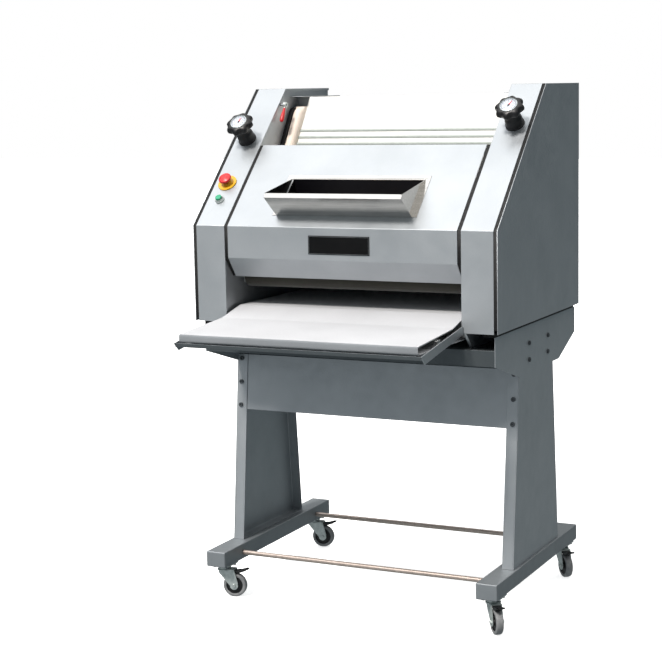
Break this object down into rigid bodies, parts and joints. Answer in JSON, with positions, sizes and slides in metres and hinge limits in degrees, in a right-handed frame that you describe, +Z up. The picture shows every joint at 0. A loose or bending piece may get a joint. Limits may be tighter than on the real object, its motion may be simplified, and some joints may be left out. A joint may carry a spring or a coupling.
{
  "type": "baguette moulder",
  "caption": "Free-standing dough moulder with sloped housing, infeed hopper, felt outfeed belt and handwheels, on a sheet-metal stand with braked casters.",
  "frame": {"origin": "on the floor, under the middle of the machine's plan", "axes": "+Z up, +X to the right seen from the outfeed side, -Y towards the outfeed table"},
  "size_m": [0.9973, 1.044, 1.5753],
  "materials": {
    "silver_paint": "satin silver-grey powder coat",
    "grey_paint": "satin grey powder coat",
    "stainless": "brushed stainless steel",
    "black_oxide": "black oxide steel",
    "zinc": "bright zinc plate",
    "grey_tyre": "grey polyurethane tyre on a dark hub",
    "black_plastic": "moulded black nylon",
    "black_rubber": "extruded black rubber",
    "white_cover": "white powder coat",
    "cream_plastic": "cream nylon",
    "black_plate": "blank gloss black plate",
    "dial_white": "white dial under a clear lens",
    "yellow_plastic": "yellow moulded disc",
    "red_plastic": "red moulded plastic",
    "green_plastic": "green moulded plastic",
    "felt": "pressed wool felt",
    "blue_casting": "painted casting"
  },
  "bodies": {
    "root": {"leg_left": "silver_paint", "leg_right": "silver_paint", "front_apron": "silver_paint", "foot_beams": "silver_paint", "front_strip_left": "silver_paint", "front_strip_right": "silver_paint", "side_cover_left": "silver_paint", "side_cover_right": "silver_paint", "rear_panel": "silver_paint", "outfeed_tray": "silver_paint", "base_tray": "grey_paint", "side_frame_left": "grey_paint", "side_frame_right": "grey_paint", "tie_rods": "stainless", "rear_guide": "stainless", "outfeed_bed": "stainless", "stand_bolts": "black_oxide", "caster_plates": "zinc", "start_bezel": "zinc", "spindle_collars": "black_plastic", "cover_seals": "black_rubber", "drive_belts": "black_rubber", "top_cover": "white_cover", "cover_cheeks": "cream_plastic", "estop_base": "yellow_plastic", "lower_belt": "felt", "gearmotor": "blue_casting"},
    "hood": {"hood": "silver_paint", "hood_seals": "black_rubber", "hopper": "stainless", "nameplate": "black_plate"},
    "handwheel_left": {"handwheel_left": "black_plastic", "gauge_left": "dial_white"},
    "handwheel_right": {"handwheel_right": "black_plastic", "gauge_right": "dial_white"},
    "roller_carrier": {"roller_carrier": "stainless"},
    "infeed_roller_front": {"infeed_roller_front": "cream_plastic"},
    "infeed_roller_rear": {"infeed_roller_rear": "cream_plastic"},
    "drive_drum": {"drive_drum": "stainless"},
    "motor_pulley": {"motor_pulley": "stainless"},
    "upper_carriage": {"upper_carriage": "stainless", "upper_belt": "felt"},
    "upper_roller_front": {"upper_roller_front": "stainless"},
    "upper_roller_rear": {"upper_roller_rear": "stainless"},
    "estop_stem": {"estop_stem": "stainless"},
    "estop_head": {"estop_head": "red_plastic"},
    "start_cap": {"start_cap": "green_plastic"},
    "latch_lever": {"latch_lever": "red_plastic"},
    "caster_fl": {"caster_fork_fl": "zinc"},
    "wheel_fl": {"caster_wheel_fl": "grey_tyre"},
    "pedal_fl": {"brake_pedal_fl": "black_plastic"},
    "caster_fr": {"caster_fork_fr": "zinc"},
    "wheel_fr": {"caster_wheel_fr": "grey_tyre"},
    "pedal_fr": {"brake_pedal_fr": "black_plastic"},
    "caster_rl": {"caster_fork_rl": "zinc"},
    "wheel_rl": {"caster_wheel_rl": "grey_tyre"},
    "pedal_rl": {"brake_pedal_rl": "black_plastic"},
    "caster_rr": {"caster_fork_rr": "zinc"},
    "wheel_rr": {"caster_wheel_rr": "grey_tyre"},
    "pedal_rr": {"brake_pedal_rr": "black_plastic"}
  },
  "joints": [
    {"name": "hood_hinge", "type": "hinge", "parent": "root", "child": "hood", "pos_m": [0, 0.02274, 1.38317], "axis": [-1, 0, 0], "range_deg": [0, 75]},
    {"name": "handwheel_left_turn", "type": "hinge", "parent": "root", "child": "handwheel_left", "pos_m": [-0.4355, 0.03752, 1.41969], "axis": [0, -0.6947, 0.7193], "range_deg": [0, 2250]},
    {"name": "infeed_gap", "type": "slide", "parent": "root", "child": "roller_carrier", "axis": [0, -1, 0], "range_m": [0, 0.025]},
    {"name": "handwheel_right_turn", "type": "hinge", "parent": "root", "child": "handwheel_right", "pos_m": [0.4355, 0.07781, 1.45859], "axis": [0, -0.6947, 0.7193], "range_deg": [-2520, 1440]},
    {"name": "mould_height", "type": "slide", "parent": "root", "child": "upper_carriage", "axis": [0, 0, 1], "range_m": [-0.035, 0.02]},
    {"name": "drum_spin", "type": "hinge", "parent": "root", "child": "drive_drum", "pos_m": [0, 0.43, 0.885], "axis": [1, 0, 0], "continuous": true},
    {"name": "motor_spin", "type": "hinge", "parent": "root", "child": "motor_pulley", "pos_m": [0, 0.34, 1.22], "axis": [1, 0, 0], "continuous": true},
    {"name": "infeed_rear_spin", "type": "hinge", "parent": "root", "child": "infeed_roller_rear", "pos_m": [0, -0.036, 1.15], "axis": [1, 0, 0], "continuous": true},
    {"name": "infeed_front_spin", "type": "hinge", "parent": "roller_carrier", "child": "infeed_roller_front", "pos_m": [0, -0.11, 1.15], "axis": [1, 0, 0], "continuous": true},
    {"name": "upper_front_spin", "type": "hinge", "parent": "upper_carriage", "child": "upper_roller_front", "pos_m": [0, -0.095, 1.015], "axis": [1, 0, 0], "continuous": true},
    {"name": "upper_rear_spin", "type": "hinge", "parent": "upper_carriage", "child": "upper_roller_rear", "pos_m": [0, 0.34, 1.015], "axis": [1, 0, 0], "continuous": true},
    {"name": "estop_push", "type": "slide", "parent": "root", "child": "estop_stem", "axis": [0, 0.6947, -0.7193], "range_m": [0, 0.005], "stiffness_N_per_m": 600, "springref_m": -0.002},
    {"name": "estop_twist", "type": "hinge", "parent": "estop_stem", "child": "estop_head", "pos_m": [-0.4355, -0.09627, 1.29048], "axis": [0, 0.6947, -0.7193], "range_deg": [0, 45]},
    {"name": "start_push", "type": "slide", "parent": "root", "child": "start_cap", "axis": [0, 0.6947, -0.7193], "range_m": [0, 0.004], "stiffness_N_per_m": 400, "springref_m": -0.002},
    {"name": "latch_swing", "type": "hinge", "parent": "root", "child": "latch_lever", "pos_m": [-0.367, 0.166, 1.52429], "axis": [-1, 0, 0], "range_deg": [0, 80]},
    {"name": "swivel_fl", "type": "hinge", "parent": "root", "child": "caster_fl", "pos_m": [-0.448, -0.16, 0.095], "axis": [0, 0, 1], "continuous": true},
    {"name": "roll_fl", "type": "hinge", "parent": "caster_fl", "child": "wheel_fl", "pos_m": [-0.41572, -0.15314, 0.0375], "axis": [-0.2079, 0.9781, 0], "continuous": true},
    {"name": "brake_fl", "type": "hinge", "parent": "caster_fl", "child": "pedal_fl", "pos_m": [-0.41866, -0.15376, 0.0805], "axis": [-0.2079, 0.9781, 0], "range_deg": [0, 10]},
    {"name": "swivel_fr", "type": "hinge", "parent": "root", "child": "caster_fr", "pos_m": [0.448, -0.16, 0.095], "axis": [0, 0, 1], "continuous": true},
    {"name": "roll_fr", "type": "hinge", "parent": "caster_fr", "child": "wheel_fr", "pos_m": [0.46832, -0.186, 0.0375], "axis": [0.788, 0.6157, 0], "continuous": true},
    {"name": "brake_fr", "type": "hinge", "parent": "caster_fr", "child": "pedal_fr", "pos_m": [0.46647, -0.18364, 0.0805], "axis": [0.788, 0.6157, 0], "range_deg": [0, 10]},
    {"name": "swivel_rl", "type": "hinge", "parent": "root", "child": "caster_rl", "pos_m": [-0.448, 0.463, 0.095], "axis": [0, 0, 1], "continuous": true},
    {"name": "roll_rl", "type": "hinge", "parent": "caster_rl", "child": "wheel_rl", "pos_m": [-0.41572, 0.46986, 0.0375], "axis": [-0.2079, 0.9781, 0], "continuous": true},
    {"name": "brake_rl", "type": "hinge", "parent": "caster_rl", "child": "pedal_rl", "pos_m": [-0.41866, 0.46924, 0.0805], "axis": [-0.2079, 0.9781, 0], "range_deg": [0, 10]},
    {"name": "swivel_rr", "type": "hinge", "parent": "root", "child": "caster_rr", "pos_m": [0.448, 0.463, 0.095], "axis": [0, 0, 1], "continuous": true},
    {"name": "roll_rr", "type": "hinge", "parent": "caster_rr", "child": "wheel_rr", "pos_m": [0.47008, 0.43848, 0.0375], "axis": [0.7431, 0.6691, 0], "continuous": true},
    {"name": "brake_rr", "type": "hinge", "parent": "caster_rr", "child": "pedal_rr", "pos_m": [0.46807, 0.44071, 0.0805], "axis": [0.7431, 0.6691, 0], "range_deg": [0, 10]}
  ],
  "couplings": [
    {"joint": "handwheel_left_turn", "follows": "infeed_gap", "rad_per_m": 1570.8},
    {"joint": "handwheel_right_turn", "follows": "mould_height", "rad_per_m": 1256.6},
    {"joint": "motor_spin", "follows": "drum_spin", "ratio": 1.5},
    {"joint": "infeed_rear_spin", "follows": "drum_spin", "ratio": 1},
    {"joint": "infeed_front_spin", "follows": "drum_spin", "ratio": -1},
    {"joint": "upper_front_spin", "follows": "drum_spin", "ratio": -0.5},
    {"joint": "upper_rear_spin", "follows": "drum_spin", "ratio": -0.5}
  ]
}
